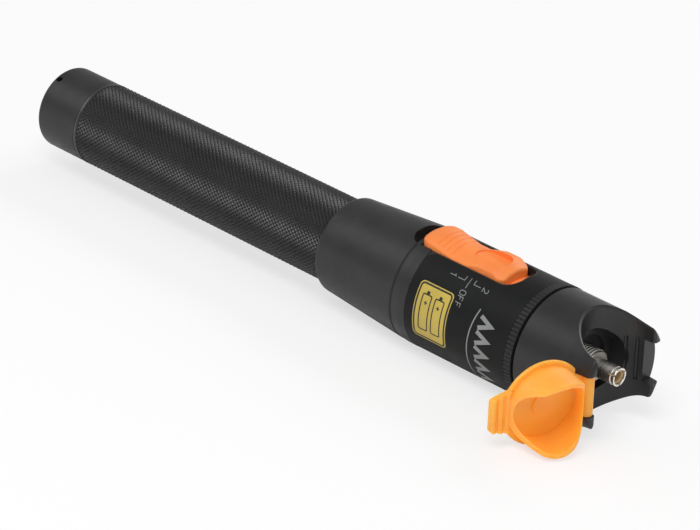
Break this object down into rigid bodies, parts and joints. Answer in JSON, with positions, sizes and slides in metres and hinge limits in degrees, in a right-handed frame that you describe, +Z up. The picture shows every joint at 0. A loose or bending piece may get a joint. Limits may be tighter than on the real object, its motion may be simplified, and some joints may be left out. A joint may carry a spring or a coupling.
{
  "type": "visual fault locator",
  "caption": "Pen-shaped visual fault locator with a knurled battery tube, orange slide switch, ferrule port and hinged orange dust cap, shown open.",
  "frame": {"origin": "centre of the tail cap's end face, on the pen's axis", "axes": "+X along the pen from the tail to the nose, +Z up from the table it lies on, +Y away from the dust cap's side; the pen is rolled 10 degrees about X, so its slide button leans towards -Y and the open dust cap's rim meets the table"},
  "size_m": [0.1725, 0.0441, 0.0274],
  "materials": {
    "black_alloy": "satin black anodised",
    "black_moulding": "satin black moulding",
    "label": "matt black print film",
    "orange_button": "satin orange moulding",
    "orange_cap": "soft translucent orange",
    "rubber_seal": "matt",
    "nickel": "bright nickel plate",
    "steel": "bright",
    "brass": "satin",
    "ceramic": "satin",
    "glass": "clear",
    "board": "satin",
    "switch": "satin",
    "holder": "matt",
    "cell": "satin film over steel"
  },
  "bodies": {
    "pen": {"battery_tube": "black_alloy", "cell_rear": "cell", "cell_front": "cell", "tube_seal": "rubber_seal", "rear_sleeve": "black_alloy", "contact_holder": "holder", "front_contact": "brass", "head_housing": "black_alloy", "label_wrap": "label", "lock_ring": "black_moulding", "circuit_board": "board", "board_screws": "steel", "switch_body": "switch", "nose_shroud": "black_moulding", "laser_module": "brass", "laser_diode": "steel", "focus_lens": "glass", "lens_retainer": "brass", "adapter_barrel": "nickel", "ferrule_tube": "nickel", "split_sleeve": "ceramic", "cap_hinge_pin": "steel"},
    "slider": {"slide_button": "orange_button", "switch_lever": "switch"},
    "cap": {"dust_cap": "orange_cap"},
    "tail_slide": {"tail_seal": "rubber_seal"},
    "tail_turn": {"tail_cap": "black_alloy", "spring_plate": "steel", "battery_spring": "steel"}
  },
  "joints": [
    {"name": "switch_slide", "type": "slide", "parent": "pen", "child": "slider", "axis": [1, 0, 0], "range_m": [-0.0022, 0.0022]},
    {"name": "dust_cap_hinge", "type": "hinge", "parent": "pen", "child": "cap", "pos_m": [0.16836, -0.0098, -0.00173], "axis": [0, -0.1736, 0.9848], "range_deg": [0, 197.3]},
    {"name": "tail_cap_travel", "type": "slide", "parent": "pen", "child": "tail_slide", "axis": [-1, 0, 0], "range_m": [0, 0.006]},
    {"name": "tail_cap_turn", "type": "hinge", "parent": "tail_slide", "child": "tail_turn", "pos_m": [0.0125, 0, 0], "axis": [-1, 0, 0], "range_deg": [0, 2160]}
  ],
  "couplings": [
    {"joint": "tail_cap_turn", "follows": "tail_cap_travel", "rad_per_m": 6283.2}
  ]
}
